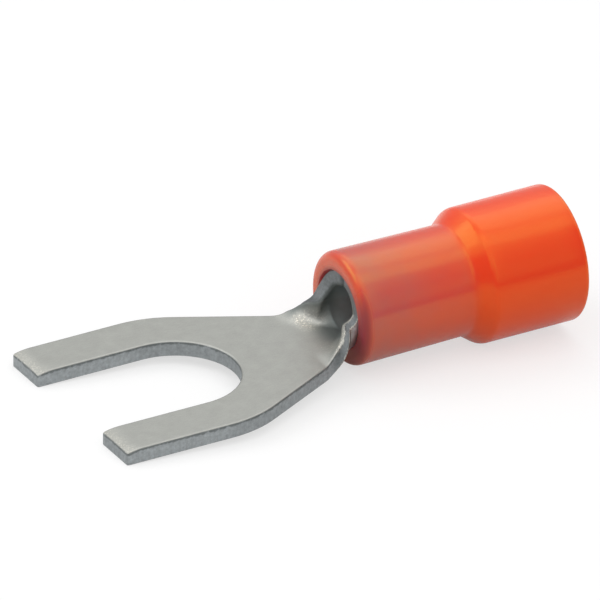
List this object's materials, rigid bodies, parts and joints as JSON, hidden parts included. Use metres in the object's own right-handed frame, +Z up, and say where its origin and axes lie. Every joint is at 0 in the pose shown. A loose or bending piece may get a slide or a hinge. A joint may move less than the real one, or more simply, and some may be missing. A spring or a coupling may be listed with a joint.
{
  "type": "fork terminal",
  "caption": "Insulated fork terminal: flat two-prong tongue with an open slot for a stud, rolled wire barrel and moulded plastic sleeve with a wider cable entry.",
  "frame": {"origin": "centre of the slot's round end, on the underside of the tongue", "axes": "+X along the barrel from the fork to the cable entry, +Z up, square to the tongue, on the side of the barrel's seam"},
  "size_m": [0.0272, 0.0116, 0.0069],
  "materials": {
    "tinned_copper": "matte tin plating over copper",
    "orange_vinyl": "glossy, slightly translucent"
  },
  "bodies": {
    "root": {"terminal_body": "tinned_copper", "insulation_sleeve": "orange_vinyl"}
  },
  "joints": []
}
